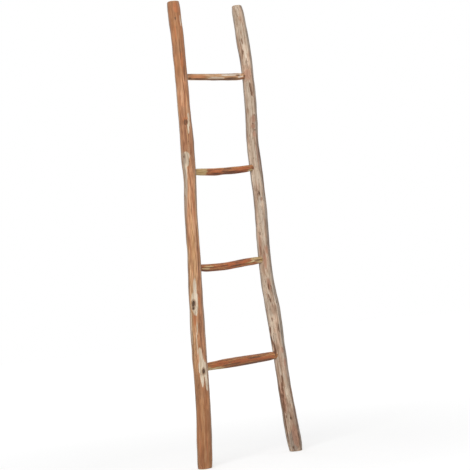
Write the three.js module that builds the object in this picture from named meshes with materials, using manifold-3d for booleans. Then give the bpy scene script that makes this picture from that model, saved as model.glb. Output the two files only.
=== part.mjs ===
// A decorative ladder: two peeled, crooked hardwood stems as rails, and four smaller branches as
// rungs, whittled to round tenons, pushed into blind mortises and nailed from behind.
// Millimetres, +Z up. The front faces -Y, the feet stand on z = 0 and the origin lies midway
// between them.

import * as THREE from "three";
import { mergeVertices } from "three/addons/utils/BufferGeometryUtils.js";
import Module from "manifold-3d";

const wasm = await Module();
wasm.setup();

// The ladder's frame
const railLength = 1500;
const footSpread = 378; // between the rails' centres on the floor
const topSpread = 262; // between the rails' centres at the saw cuts above
const topDrift = 1; // how far the top sits to the right of the feet
const firstRungHeight = 321;
const rungPitch = 312;

// Joinery
const fitGap = 0.3;
const tenonPastAxis = 7; // how far a tenon reaches beyond its rail's centre
const tenonChamfer = 1.5;
const shoulderGap = 1.5; // bare tenon left between a rung's shoulder and the rail
const whittle = 16; // length over which the knife brings a rung down to its tenon

// Nails
const nailGirth = 2.8;
const nailLength = 35;
const nailPoint = 5;
const nailHeadGirth = 7;
const nailHeadThickness = 1.4;
const nailHeadEdge = 0.4;
const nailSink = 3; // depth of the nail's seat below the stem's surface
const nailInset = 4; // from the rail's centre towards the rung

// Shape of the stems' sections
const outOfRound = 0.03;
const lobe = 0.012; // a weaker three-sided swelling of the section
const twist = 2.6; // radians that the oval turns through from end to end

// Fineness of the surfaces
const railSides = 22;
const railRingStep = 40;
const closestRailRings = 6.5;
const knotRings = [-0.7, 0, 0.7]; // in reaches from a knot's middle
const rungSides = 16;
const rungRingStep = 16;
const wearRings = 3;
const mortiseSides = 20;
const nailSides = 10;

const wood = { roughness: 0.72, metalness: 0 };
const leftRailWood = new THREE.MeshStandardMaterial({ color: "#a9754f", ...wood });
const rightRailWood = new THREE.MeshStandardMaterial({ color: "#bda07f", ...wood });
const rungWood = new THREE.MeshStandardMaterial({ color: "#a56f47", ...wood });
const nailSteel = new THREE.MeshStandardMaterial({ color: "#5c5853", roughness: 0.5, metalness: 0.9 });

// A rail's course has one row for each place where the stem turns or thickens: how far up it is as
// a share of the length, how far the stem strays sideways (+X) and backwards (+Y) from the straight
// line between foot and top, and its girth. A knot swells the surface at a share of the length and
// a turn round the stem, counted from +X.
const leftRail = {
  name: "left_rail",
  material: leftRailWood,
  footX: -footSpread / 2,
  topX: topDrift - topSpread / 2,
  wear: 4,
  course: [
    { at: 0, side: 0, back: 0, girth: 49 },
    { at: 0.05, side: 3.5, back: -1, girth: 48 },
    { at: 0.15, side: 8, back: -3, girth: 46.5 },
    { at: 0.26, side: 3.5, back: -5, girth: 48 },
    { at: 0.36, side: 4.5, back: -6, girth: 46 },
    { at: 0.46, side: 9, back: -7, girth: 43.5 },
    { at: 0.55, side: 8, back: -7, girth: 42 },
    { at: 0.61, side: 13.5, back: -6.5, girth: 41 },
    { at: 0.68, side: 13.5, back: -5.5, girth: 44.5 },
    { at: 0.8, side: 10, back: -4, girth: 42 },
    { at: 0.92, side: 6.5, back: -2, girth: 43.5 },
    { at: 1, side: 0, back: 0, girth: 44 },
  ],
  knots: [
    { at: 0.663, turn: 193, rise: 3.5, reach: 20 },
    { at: 0.346, turn: 211, rise: 1.2, reach: 16 },
    { at: 0.202, turn: 200, rise: 2, reach: 26 },
  ],
};

const rightRail = {
  name: "right_rail",
  material: rightRailWood,
  footX: footSpread / 2,
  topX: topDrift + topSpread / 2,
  wear: 5,
  course: [
    { at: 0, side: 0, back: 0, girth: 48.5 },
    { at: 0.05, side: -3, back: 1.5, girth: 47.5 },
    { at: 0.13, side: -9, back: 3.5, girth: 44.5 },
    { at: 0.24, side: -12, back: 5.5, girth: 45.5 },
    { at: 0.32, side: -12.5, back: 7, girth: 49 },
    { at: 0.37, side: -19, back: 7.5, girth: 45.5 },
    { at: 0.45, side: -17, back: 8, girth: 43.5 },
    { at: 0.54, side: -7, back: 8, girth: 42.5 },
    { at: 0.62, side: -4.5, back: 7.5, girth: 42.5 },
    { at: 0.69, side: -4.5, back: 6.5, girth: 40.5 },
    { at: 0.76, side: 6, back: 5, girth: 41.5 },
    { at: 0.86, side: 11, back: 3, girth: 40.5 },
    { at: 0.94, side: 7, back: 1.5, girth: 42 },
    { at: 1, side: 0, back: 0, girth: 40 },
  ],
  knots: [
    { at: 0.917, turn: 155, rise: 3, reach: 18 },
    { at: 0.578, turn: 232, rise: 1, reach: 14 },
    { at: 0.072, turn: 242, rise: 1.2, reach: 14 },
  ],
};

// A rung's course runs from the left rail's centre to the right rail's: the share of that way, how
// far the branch strays up (+Z) and backwards (+Y) from the straight line, and its girth. The lifts
// say how far each end sits above its even place in the ladder.
const rungs = [
  {
    name: "bottom_rung",
    leftLift: -5,
    rightLift: 3.5,
    tenonGirth: 25,
    course: [
      { at: 0, up: 0, back: 0, girth: 26 },
      { at: 0.15, up: 0, back: 0, girth: 26.5 },
      { at: 0.3, up: 0.5, back: -2, girth: 30.5 },
      { at: 0.4, up: 0.3, back: -3, girth: 31 },
      { at: 0.66, up: 0, back: -2, girth: 29.5 },
      { at: 0.9, up: 0, back: 0, girth: 28 },
      { at: 1, up: 0, back: 0, girth: 27.5 },
    ],
  },
  {
    name: "lower_rung",
    leftLift: -0.5,
    rightLift: 11.5,
    tenonGirth: 22.5,
    course: [
      { at: 0, up: 0, back: 0, girth: 23.5 },
      { at: 0.15, up: -3, back: -1, girth: 23.5 },
      { at: 0.4, up: -5.6, back: -4, girth: 23.5 },
      { at: 0.52, up: -4.4, back: -3, girth: 24 },
      { at: 0.66, up: -2.2, back: 1, girth: 25 },
      { at: 0.86, up: -0.6, back: 2, girth: 25.5 },
      { at: 1, up: 0, back: 0, girth: 25.5 },
    ],
  },
  {
    name: "upper_rung",
    leftLift: -3,
    rightLift: 8,
    tenonGirth: 21,
    course: [
      { at: 0, up: 0, back: 0, girth: 22 },
      { at: 0.13, up: -1, back: 0, girth: 22 },
      { at: 0.3, up: -3, back: 2, girth: 23 },
      { at: 0.41, up: -4.2, back: 3, girth: 24.5 },
      { at: 0.51, up: -3.4, back: 4, girth: 22 },
      { at: 0.62, up: -3.4, back: 3, girth: 24 },
      { at: 0.74, up: -2.8, back: 2, girth: 23.2 },
      { at: 0.9, up: -1, back: 0, girth: 24.2 },
      { at: 1, up: 0, back: 0, girth: 24 },
    ],
  },
  {
    name: "top_rung",
    leftLift: -4.5,
    rightLift: 4.5,
    tenonGirth: 20,
    course: [
      { at: 0, up: 0, back: 0, girth: 21 },
      { at: 0.31, up: -1, back: -1, girth: 20.8 },
      { at: 0.45, up: -1.8, back: -2, girth: 22.2 },
      { at: 0.58, up: -2, back: -3, girth: 22.2 },
      { at: 0.7, up: -2, back: -2, girth: 22.5 },
      { at: 0.82, up: -1, back: 0, girth: 24.4 },
      { at: 1, up: 0, back: 0, girth: 25 },
    ],
  },
];

// The course of a stem as a smooth function: at a share of its way, the two strays and the girth.
function smoothCourse(rows, firstStray) {
  const places = rows.map((row) => row.at);
  const values = rows.flatMap((row) => [row[firstStray], row.back, row.girth]);
  return new THREE.CubicInterpolant(places, values, 3);
}

// Corners that coincide become one, and triangles that collapse with them are left out.
function weld(geometry) {
  geometry.deleteAttribute("normal");
  geometry.deleteAttribute("uv");
  const welded = mergeVertices(geometry);
  const corners = welded.index.array;
  const kept = [];
  for (let i = 0; i < corners.length; i += 3) {
    const [a, b, c] = [corners[i], corners[i + 1], corners[i + 2]];
    if (a !== b && b !== c && c !== a) kept.push(a, b, c);
  }
  welded.setIndex(kept);
  return welded;
}

// How much larger than its girth a section is at one turn. The section is oval with a weak third
// lobe, and the oval turns along the stem.
function sectionFactor(turn, share) {
  const oval = outOfRound * Math.cos(2 * turn - twist * share);
  return 1 + oval + lobe * Math.cos(3 * turn + twist * share);
}

// The swelling of a stem's knots at one spot of its surface. A knot is longer than it is wide.
function knotSwelling(knots, height, turn, radius) {
  const knotStretch = 0.7;
  let swelling = 0;
  for (const knot of knots) {
    const apart = turn - THREE.MathUtils.degToRad(knot.turn);
    const across = radius * 2 * Math.sin(apart / 2);
    const along = knotStretch * (height - knot.at * railLength);
    swelling += knot.rise * Math.exp(-(across ** 2 + along ** 2) / knot.reach ** 2);
  }
  return swelling;
}

// A closed round solid along +Z with the given rings, each with its place and radius. The saw cuts
// at both ends are flat, with an edge worn to a quarter round.
function turnedSolid(rings, wear, sides) {
  const first = rings[0];
  const last = rings[rings.length - 1];
  const profile = [new THREE.Vector2(0, first.place)];
  for (let i = 0; i < wearRings; i += 1) {
    const angle = ((i / wearRings) * Math.PI) / 2;
    const rim = first.radius - wear * (1 - Math.sin(angle));
    profile.push(new THREE.Vector2(rim, first.place + wear * (1 - Math.cos(angle))));
  }
  profile.push(new THREE.Vector2(first.radius, first.place + wear));
  for (const ring of rings) {
    const clear = ring.place > first.place + wear && ring.place < last.place - wear;
    if (clear) profile.push(new THREE.Vector2(ring.radius, ring.place));
  }
  profile.push(new THREE.Vector2(last.radius, last.place - wear));
  for (let i = wearRings - 1; i >= 0; i -= 1) {
    const angle = ((i / wearRings) * Math.PI) / 2;
    const rim = last.radius - wear * (1 - Math.sin(angle));
    profile.push(new THREE.Vector2(rim, last.place - wear * (1 - Math.cos(angle))));
  }
  profile.push(new THREE.Vector2(0, last.place));
  return weld(new THREE.LatheGeometry(profile, sides)).rotateX(Math.PI / 2);
}

// Moves each corner of a turned solid out to its grown section and over to the stem's course.
// Sections stay square to Z, so the ends stay flat and level.
function growAlong(geometry, shape) {
  const corners = geometry.attributes.position;
  for (let i = 0; i < corners.count; i += 1) {
    const place = corners.getZ(i);
    const turn = Math.atan2(corners.getY(i), corners.getX(i));
    const radius = Math.hypot(corners.getX(i), corners.getY(i));
    const { strayX, strayY, factor, swelling } = shape(place, turn, radius);
    const grown = radius === 0 ? 0 : radius * factor + swelling;
    corners.setX(i, grown * Math.cos(turn) + strayX);
    corners.setY(i, grown * Math.sin(turn) + strayY);
  }
  return geometry;
}

// Rails

function railAxis(rail, height) {
  const share = height / railLength;
  const [side, back] = rail.stem.evaluate(share);
  return new THREE.Vector3(rail.footX + (rail.topX - rail.footX) * share + side, back, height);
}

function railRadius(rail, height, turn) {
  const share = height / railLength;
  const radius = rail.stem.evaluate(share)[2] / 2;
  return radius * sectionFactor(turn, share) + knotSwelling(rail.knots, height, turn, radius);
}

// Even rings up the stem, with closer ones where a knot swells it.
function railRings(rail) {
  const heights = [];
  const steps = Math.round(railLength / railRingStep);
  for (let i = 0; i <= steps; i += 1) heights.push((i / steps) * railLength);
  for (const knot of rail.knots) {
    for (const part of knotRings) heights.push(knot.at * railLength + part * knot.reach);
  }
  heights.sort((a, b) => a - b);
  const spaced = heights.filter((height, i) => i === 0 || height - heights[i - 1] > closestRailRings);
  return spaced.map((place) => ({ place, radius: rail.stem.evaluate(place / railLength)[2] / 2 }));
}

function makeRail(rail) {
  const solid = growAlong(turnedSolid(railRings(rail), rail.wear, railSides), (place, turn, radius) => ({
    strayX: railAxis(rail, place).x - rail.footX,
    strayY: railAxis(rail, place).y,
    factor: sectionFactor(turn, place / railLength),
    swelling: knotSwelling(rail.knots, place, turn, radius),
  }));
  const mesh = new THREE.Mesh(solid, rail.material);
  mesh.name = rail.name;
  mesh.position.x = rail.footX;
  return mesh;
}

// Rungs

// Where a rung runs: its ends on both rails' centrelines and its length over the tenons.
function rungSeat(rung, order) {
  const evenHeight = firstRungHeight + order * rungPitch;
  const left = railAxis(leftRail, evenHeight + rung.leftLift);
  const right = railAxis(rightRail, evenHeight + rung.rightLift);
  const along = right.clone().sub(left).normalize();
  const start = left.clone().addScaledVector(along, -tenonPastAxis);
  const end = right.clone().addScaledVector(along, tenonPastAxis);
  const leftShoulder = tenonPastAxis + railRadius(leftRail, left.z, 0) + shoulderGap;
  const rightShoulder = tenonPastAxis + railRadius(rightRail, right.z, Math.PI) + shoulderGap;
  return { left, right, along, start, end, leftShoulder, rightShoulder, length: start.distanceTo(end) };
}

// From 0 on the tenons to 1 where the branch has its natural girth and bends.
function rungNature(seat, place) {
  const fromLeft = THREE.MathUtils.smoothstep(place, seat.leftShoulder, seat.leftShoulder + whittle);
  const toRight = seat.length - place;
  return fromLeft * THREE.MathUtils.smoothstep(toRight, seat.rightShoulder, seat.rightShoulder + whittle);
}

function rungRings(rung, seat, stem) {
  const places = [0, seat.leftShoulder, seat.leftShoulder + whittle / 3];
  const bare = seat.length - seat.leftShoulder - seat.rightShoulder - whittle;
  const steps = Math.round(bare / rungRingStep);
  for (let i = 0; i <= steps; i += 1) places.push(seat.leftShoulder + whittle / 2 + (i / steps) * bare);
  places.push(seat.length - seat.rightShoulder - whittle / 3, seat.length - seat.rightShoulder, seat.length);
  return places.map((place) => {
    const share = (place - tenonPastAxis) / (seat.length - 2 * tenonPastAxis);
    const girth = stem.evaluate(THREE.MathUtils.clamp(share, 0, 1))[2];
    const radius = THREE.MathUtils.lerp(rung.tenonGirth, girth, rungNature(seat, place)) / 2;
    return { place, radius };
  });
}

// The rung's own axes: X up, Y forwards and Z along it from left to right.
function makeRung(rung, seat) {
  const stem = smoothCourse(rung.course, "up");
  const turned = turnedSolid(rungRings(rung, seat, stem), tenonChamfer, rungSides);
  const solid = growAlong(turned, (place, turn) => {
    const share = THREE.MathUtils.clamp((place - tenonPastAxis) / (seat.length - 2 * tenonPastAxis), 0, 1);
    const [up, back] = stem.evaluate(share);
    const nature = rungNature(seat, place);
    return {
      strayX: up * nature,
      strayY: -back * nature,
      factor: 1 + (sectionFactor(turn, share) - 1) * nature,
      swelling: 0,
    };
  });
  const forwards = new THREE.Vector3(0, 0, 1).cross(seat.along).negate().normalize();
  const upwards = forwards.clone().cross(seat.along);
  const mesh = new THREE.Mesh(solid, rungWood);
  mesh.name = rung.name;
  mesh.position.copy(seat.start);
  mesh.quaternion.setFromRotationMatrix(new THREE.Matrix4().makeBasis(upwards, forwards, seat.along));
  return mesh;
}

// Nails

// A wire nail along +Z, with its point below and its head's underside at z = 0.
function nailGeometry() {
  const profile = [
    [0, -nailLength],
    [nailGirth / 2, nailPoint - nailLength],
    [nailGirth / 2, 0],
    [nailHeadGirth / 2, 0],
    [nailHeadGirth / 2, nailHeadThickness - nailHeadEdge],
    [nailHeadGirth / 2 - nailHeadEdge, nailHeadThickness],
    [0, nailHeadThickness],
  ];
  const points = profile.map(([radius, height]) => new THREE.Vector2(radius, height));
  return weld(new THREE.LatheGeometry(points, nailSides)).rotateX(Math.PI / 2);
}

// A nail is driven forwards, from the back of the rail through the tenon.
function nailSeat(rail, axisPoint, towardsRung) {
  const surface = railRadius(rail, axisPoint.z, Math.PI / 2);
  return axisPoint.clone().add(new THREE.Vector3(towardsRung * nailInset, surface - nailSink, 0));
}

function makeNail(name, seat) {
  const mesh = new THREE.Mesh(nailGeometry(), nailSteel);
  mesh.name = name;
  mesh.position.copy(seat).add(new THREE.Vector3(0, fitGap, 0));
  mesh.rotation.x = -Math.PI / 2;
  return mesh;
}

// Holes

// A straight round hole between two points, as the solid that it takes away.
function hole(from, to, radius, sides) {
  const mesh = new THREE.Mesh(weld(new THREE.CylinderGeometry(radius, radius, from.distanceTo(to), sides)));
  const direction = to.clone().sub(from).normalize();
  mesh.position.lerpVectors(from, to, 0.5);
  mesh.quaternion.setFromUnitVectors(new THREE.Vector3(0, 1, 0), direction);
  return mesh;
}

// A blind mortise that holds a tenon with a small gap all round, open well past the rail's side.
function mortise(seat, rung, end) {
  const outwards = end === "left" ? seat.along.clone().negate() : seat.along.clone();
  const bottom = (end === "left" ? seat.start : seat.end).clone().addScaledVector(outwards, fitGap);
  const mouth = end === "left" ? seat.leftShoulder : seat.rightShoulder;
  const outside = bottom.clone().addScaledVector(outwards, -mouth - whittle);
  return hole(bottom, outside, rung.tenonGirth / 2 + fitGap, mortiseSides);
}

// The room that one nail takes: its shank's bore, and the punched recess round its head.
function nailHoles(seat) {
  const point = seat.clone().add(new THREE.Vector3(0, -nailLength, 0));
  const outside = seat.clone().add(new THREE.Vector3(0, nailSink * 2, 0));
  return [
    hole(point, outside, nailGirth / 2 + fitGap, nailSides),
    hole(seat, outside, nailHeadGirth / 2 + fitGap, nailSides),
  ];
}

function toSolid(geometry) {
  const vertProperties = new Float32Array(geometry.attributes.position.array);
  const triVerts = new Uint32Array(geometry.index.array);
  return new wasm.Manifold(new wasm.Mesh({ numProp: 3, vertProperties, triVerts }));
}

function toGeometry(solid) {
  const { vertProperties, triVerts } = solid.getMesh();
  const geometry = new THREE.BufferGeometry();
  geometry.setAttribute("position", new THREE.BufferAttribute(vertProperties, 3));
  geometry.setIndex(new THREE.BufferAttribute(triVerts, 1));
  geometry.computeVertexNormals();
  return geometry;
}

// Takes the holes away from a piece, each where it lies in the ladder.
function cutAway(piece, holes) {
  piece.updateMatrixWorld(true);
  const intoPiece = piece.matrixWorld.clone().invert();
  let solid = toSolid(piece.geometry);
  for (const cutter of holes) {
    cutter.updateMatrixWorld(true);
    const placed = cutter.geometry.clone().applyMatrix4(intoPiece.clone().multiply(cutter.matrixWorld));
    solid = solid.subtract(toSolid(placed));
  }
  piece.geometry = toGeometry(solid);
}

// The ladder

for (const rail of [leftRail, rightRail]) rail.stem = smoothCourse(rail.course, "side");

const ladder = new THREE.Group();
const railMeshes = { left: makeRail(leftRail), right: makeRail(rightRail) };
const railHoles = { left: [], right: [] };
ladder.add(railMeshes.left, railMeshes.right);

rungs.forEach((rung, order) => {
  const seat = rungSeat(rung, order);
  const rungMesh = makeRung(rung, seat);
  const place = rung.name.replace("_rung", "");
  const nailSeats = {
    left: nailSeat(leftRail, seat.left, 1),
    right: nailSeat(rightRail, seat.right, -1),
  };
  for (const end of ["left", "right"]) {
    const holes = nailHoles(nailSeats[end]);
    railHoles[end].push(mortise(seat, rung, end), ...holes);
    cutAway(rungMesh, holes.slice(0, 1));
    ladder.add(makeNail(`nail_${place}_${end}`, nailSeats[end]));
  }
  ladder.add(rungMesh);
});

cutAway(railMeshes.left, railHoles.left);
cutAway(railMeshes.right, railHoles.right);

export default ladder;
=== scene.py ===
import math

import bpy
import numpy as np
from mathutils import Matrix, Vector, noise


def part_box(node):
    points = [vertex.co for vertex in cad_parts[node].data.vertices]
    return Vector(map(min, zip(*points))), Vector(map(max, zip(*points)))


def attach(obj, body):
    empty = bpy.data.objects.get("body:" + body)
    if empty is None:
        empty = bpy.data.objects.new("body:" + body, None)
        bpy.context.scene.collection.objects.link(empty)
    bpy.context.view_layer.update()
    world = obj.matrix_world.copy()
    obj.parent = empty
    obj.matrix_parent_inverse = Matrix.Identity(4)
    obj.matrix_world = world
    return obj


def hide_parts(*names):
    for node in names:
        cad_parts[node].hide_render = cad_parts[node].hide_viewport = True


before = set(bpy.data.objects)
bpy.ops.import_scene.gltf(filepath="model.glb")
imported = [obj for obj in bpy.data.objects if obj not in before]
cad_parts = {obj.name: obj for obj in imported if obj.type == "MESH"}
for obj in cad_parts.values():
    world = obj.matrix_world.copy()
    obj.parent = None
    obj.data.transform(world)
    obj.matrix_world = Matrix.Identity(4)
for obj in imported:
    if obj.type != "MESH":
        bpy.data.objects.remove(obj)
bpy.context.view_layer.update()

# The camera stands low and far to the left of the ladder's front, behind a long lens.
# The ladder leans to the left as it is seen, and the camera is tilted to give that lean.

CAMERA_AZIMUTH = math.radians(-38)
CAMERA_ELEVATION = math.radians(-2.68)
CAMERA_TILT = math.radians(-5.88)
CAMERA_DISTANCE = 4.531
CAMERA_LENS = 105.75
LOOKED_AT = Vector((0.0258, 0, 0.7317))


def seen_from(azimuth, elevation, distance):
    """A spot round the ladder, and the turns that make a lamp or camera there look at it."""
    away = Vector((math.sin(azimuth) * math.cos(elevation), -math.cos(azimuth) * math.cos(elevation),
                   math.sin(elevation)))
    return LOOKED_AT + away * distance, (math.pi / 2 - elevation, 0, azimuth)


camera_spot, camera_turns = seen_from(CAMERA_AZIMUTH, CAMERA_ELEVATION, CAMERA_DISTANCE)
bpy.ops.object.camera_add(location=camera_spot, rotation=camera_turns)
camera = bpy.context.object
camera.rotation_euler.rotate_axis("Z", CAMERA_TILT)
camera.data.sensor_width = 36
camera.data.lens = CAMERA_LENS
bpy.context.scene.camera = camera
bpy.context.scene.view_settings.view_transform = "Standard"

# A photographer's white ground: paper on the floor that keeps a soft shadow, and plain white
# beyond it. The floor only glows where the camera sees it, so it throws no more light, and it
# glows less round the ladder, where the lamps light it.

FLOOR_SIZE = 24
LIT_REACH = 0.6
FAR_REACH = 3.2
NEAR_GLOW = 0.6
FAR_GLOW = 0.8
SKY_LIGHT = 0.42
WHITE = (1, 1, 1, 1)
PLAIN_PAPER = (0.8, 0.8, 0.8, 1)
LIT_PAPER = (0.5, 0.5, 0.5, 1)


def add_node(tree, kind, inputs=None, **settings):
    """Adds a shader node, sets its settings, and fills each input with a value or a link."""
    node = tree.nodes.new(kind)
    for name, value in settings.items():
        setattr(node, name, value)
    for name, value in (inputs or {}).items():
        if isinstance(value, bpy.types.NodeSocket):
            tree.links.new(value, node.inputs[name])
        else:
            node.inputs[name].default_value = value
    return node


def math_node(tree, operation, *values):
    return add_node(tree, "ShaderNodeMath", dict(enumerate(values)), operation=operation).outputs[0]


world = bpy.data.worlds.new("white_studio")
bpy.context.scene.world = world
world.use_nodes = True
world.node_tree.nodes.clear()
rays = add_node(world.node_tree, "ShaderNodeLightPath").outputs
seen = math_node(world.node_tree, "MAXIMUM", rays["Is Camera Ray"], rays["Is Glossy Ray"])
seen = math_node(world.node_tree, "MAXIMUM", seen, rays["Is Transmission Ray"])
strength = add_node(world.node_tree, "ShaderNodeMapRange",
                    {"Value": seen, "To Min": SKY_LIGHT, "To Max": 1.0}).outputs[0]
sky = add_node(world.node_tree, "ShaderNodeBackground", {"Color": WHITE, "Strength": strength})
add_node(world.node_tree, "ShaderNodeOutputWorld", {"Surface": sky.outputs[0]})

bpy.ops.object.select_all(action="DESELECT")
bpy.ops.mesh.primitive_plane_add(size=FLOOR_SIZE, location=(0, 0, 0))
floor = bpy.context.object
floor.name = "floor"
paper = bpy.data.materials.new("white_paper")
paper.use_nodes = True
paper.node_tree.nodes.clear()
rays = add_node(paper.node_tree, "ShaderNodeLightPath").outputs
plain_paper = add_node(paper.node_tree, "ShaderNodeBsdfDiffuse", {"Color": PLAIN_PAPER})
lit_paper = add_node(paper.node_tree, "ShaderNodeBsdfDiffuse", {"Color": LIT_PAPER})
spot = add_node(paper.node_tree, "ShaderNodeTexCoord").outputs["Object"]
away = add_node(paper.node_tree, "ShaderNodeVectorMath", {0: spot}, operation="LENGTH").outputs["Value"]
strength = add_node(paper.node_tree, "ShaderNodeMapRange", {0: away, 1: LIT_REACH, 2: FAR_REACH,
                                                            3: NEAR_GLOW, 4: FAR_GLOW}).outputs[0]
glow = add_node(paper.node_tree, "ShaderNodeEmission", {"Color": WHITE, "Strength": strength})
white = add_node(paper.node_tree, "ShaderNodeAddShader", {0: lit_paper.outputs[0], 1: glow.outputs[0]})
shown = add_node(paper.node_tree, "ShaderNodeMixShader",
                 {0: rays["Is Camera Ray"], 1: plain_paper.outputs[0], 2: white.outputs[0]})
add_node(paper.node_tree, "ShaderNodeOutputMaterial", {"Surface": shown.outputs[0]})
floor.data.materials.append(paper)

# Plain soft light: a wide lamp high beside the camera, and two weaker ones that fill the far
# side and the back.

LAMPS = [
    # name, azimuth, elevation, distance, width and power
    ("key_lamp", -53, 34, 3.6, 1.8, 64),
    ("fill_lamp", 48, 18, 4.2, 2.4, 22),
    ("back_lamp", 162, 26, 4.4, 2.4, 20),
]

for name, azimuth, elevation, distance, width, power in LAMPS:
    spot, turns = seen_from(math.radians(azimuth), math.radians(elevation), distance)
    bpy.ops.object.light_add(type="AREA", location=spot, rotation=turns)
    lamp = bpy.context.object
    lamp.name = name
    lamp.data.shape = "SQUARE"
    lamp.data.size = width
    lamp.data.energy = power

# The left stem is a peeled trunk of orange-brown heartwood, as thick as a wrist at the foot.
# It is sawn square at both ends, keeps its crooks and its trimmed knots, and holds the left ends
# of the rungs in blind mortises bored into its inner side.

STEM_LENGTH = 1.5
STEM_STEP = 0.02
STEM_SIDES = 16
STEM_RELIEF = 1.0
WORN_EDGE = 0.003
WORN_STEP = 0.3
INNER_RING = 0.4
SMOOTHING = 3
SHARP_ANGLE = math.radians(35)
SAME_CORNER = 0.00001
SECTION_TURNS = 32
SECTION_WAVES = 7
JOINT_CLEARANCE = 0.02
NEAR_END = 0.0005
IN_TENON = 0.004
TENON_PROBE = 0.015
MORTISE_REACH = 0.06
FIT_GAP = 0.0004
NAIL_SHANK = 0.0028
NAIL_HEAD = 0.0066
NAIL_HEAD_DEPTH = 0.0014
HEAD_ROOM = 0.012
SHANK_SIDES = 16
HEAD_SIDES = 24
MORTISE_SIDES = 48
RUNG_NAMES = ["bottom_rung", "lower_rung", "upper_rung", "top_rung"]
SIDES = ["left", "right"]
# How a log lies: a stem along the ladder's Z axis, and a rung about along its X axis.
UPRIGHT = Matrix.Identity(4)
LYING = Matrix(((0, 0, 1, 0), (1, 0, 0, 0), (0, 1, 0, 0), (0, 0, 0, 1)))

LEFT_MARKS = [
    # what it is, its turn round the stem from the right over the back, height, width and length
    ("amber", 236, 1.390, 0.100, 0.360),
    ("blush", 250, 1.476, 0.020, 0.040),
    ("bare", 282, 1.434, 0.005, 0.040),
    ("stain_and_shadow", 236, 1.442, 0.005, 0.012),
    ("blush", 223, 1.390, 0.006, 0.070),
    ("stain_and_shadow", 246, 1.340, 0.0035, 0.070),
    ("blush", 254, 1.301, 0.014, 0.070),
    ("stain_and_shadow", 266, 1.276, 0.0035, 0.090),
    ("blush", 238, 1.106, 0.020, 0.032),
    ("stain_and_shadow", 240, 1.103, 0.016, 0.021),
    ("bare", 270, 1.120, 0.008, 0.024),
    ("bare", 261, 1.099, 0.011, 0.026),
    ("bare", 256, 1.078, 0.006, 0.030),
    ("blush", 274, 1.026, 0.004, 0.060),
    ("bare", 220, 0.994, 0.026, 0.026),
    ("bare", 214, 0.974, 0.018, 0.034),
    ("grey", 200, 0.988, 0.020, 0.044),
    ("stain_and_shadow", 202, 0.992, 0.008, 0.013),
    ("bare", 200, 0.940, 0.014, 0.080),
    ("bare", 196, 0.904, 0.011, 0.084),
    ("grey", 181, 0.898, 0.024, 0.250),
    ("stain_and_shadow", 277, 0.964, 0.003, 0.120),
    ("blush", 266, 0.836, 0.004, 0.130),
    ("grey", 306, 0.884, 0.012, 0.200),
    ("bare", 230, 0.567, 0.011, 0.072),
    ("bare", 226, 0.524, 0.027, 0.060),
    ("bare", 226, 0.496, 0.014, 0.030),
    ("knot", 216, 0.522, 0.010, 0.019),
    ("knot", 214, 0.506, 0.007, 0.008),
    ("blush", 262, 0.530, 0.012, 0.060),
    ("blush", 221, 0.470, 0.014, 0.044),
    ("bare", 187, 0.470, 0.007, 0.070),
    ("bare", 182, 0.424, 0.006, 0.060),
    ("bare", 232, 0.448, 0.004, 0.060),
    ("bare", 223, 0.394, 0.0035, 0.080),
    ("bare", 243, 0.350, 0.013, 0.066),
    ("bare", 252, 0.318, 0.026, 0.056),
    ("bare", 241, 0.283, 0.012, 0.056),
    ("bare", 276, 0.284, 0.010, 0.076),
    ("knot", 258, 0.306, 0.010, 0.018),
    ("amber", 236, 0.130, 0.100, 0.420),
    ("blush", 258, 0.050, 0.004, 0.100),
    ("blush", 202, 0.062, 0.005, 0.080),
    # Painted shade and sheen: these two grey strips run down the stem's whole length, just inside its
    # outline as the camera sees it.
    ("grey", 156, 0.750, 0.014, 4.000),
    ("grey", 312, 0.750, 0.012, 4.000),
    ("knot", 42, 0.780, 0.011, 0.016),
    ("bare", 36, 0.765, 0.020, 0.080),
    ("knot", 78, 1.330, 0.009, 0.012),
    ("bare", 84, 1.180, 0.012, 0.110),
    ("bare", 60, 0.180, 0.015, 0.090),
    ("bare", 100, 0.560, 0.010, 0.140),
]


def activate(piece):
    bpy.ops.object.select_all(action="DESELECT")
    bpy.context.view_layer.objects.active = piece
    piece.select_set(True)


def merged_copy(name, pose):
    """A copy of a CAD node, merged, and turned so that it lies along its own Z axis."""
    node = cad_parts[name]
    copy = node.copy()
    copy.data = node.data.copy()
    copy.parent = None
    bpy.context.scene.collection.objects.link(copy)
    copy.data.transform(pose.inverted())
    activate(copy)
    bpy.ops.object.mode_set(mode="EDIT")
    bpy.ops.mesh.select_all(action="SELECT")
    bpy.ops.mesh.remove_doubles(threshold=SAME_CORNER)
    bpy.ops.object.mode_set(mode="OBJECT")
    return copy


def saw_through(solid, place):
    """Saws a merged copy across and gives the middle of the cut and its radius all round."""
    slab = solid.copy()
    slab.data = solid.data.copy()
    bpy.context.scene.collection.objects.link(slab)
    activate(slab)
    bpy.ops.object.mode_set(mode="EDIT")
    bpy.ops.mesh.select_all(action="SELECT")
    bpy.ops.mesh.bisect(plane_co=(0, 0, place), plane_no=(0, 0, 1), clear_inner=True, clear_outer=True)
    bpy.ops.object.mode_set(mode="OBJECT")
    rim = np.array([corner.co[:2] for corner in slab.data.vertices])
    bpy.data.objects.remove(slab)
    middle = (rim.min(0) + rim.max(0)) / 2
    off = rim - middle
    turns = np.arctan2(off[:, 1], off[:, 0])
    order = np.argsort(turns)
    even = np.linspace(0, 2 * np.pi, SECTION_TURNS, endpoint=False)
    return middle, np.interp(even, turns[order], np.hypot(*off.T)[order], period=2 * np.pi)


def measure(name, pose, places):
    """The middles of a CAD log, and the waves of its outline, at several places along it."""
    solid = merged_copy(name, pose)
    cuts = [saw_through(solid, place) for place in places]
    bpy.data.objects.remove(solid)
    waves = np.fft.rfft([radii for middle, radii in cuts], axis=1)[:, :SECTION_WAVES] / SECTION_TURNS
    waves[:, 1:] *= 2
    middles = np.array([middle for middle, radii in cuts])
    return {"places": np.array(places), "middles": middles, "waves": waves}


def middle_at(log, place):
    return np.stack([np.interp(place, log["places"], log["middles"][:, i]) for i in (0, 1)], -1)


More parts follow.
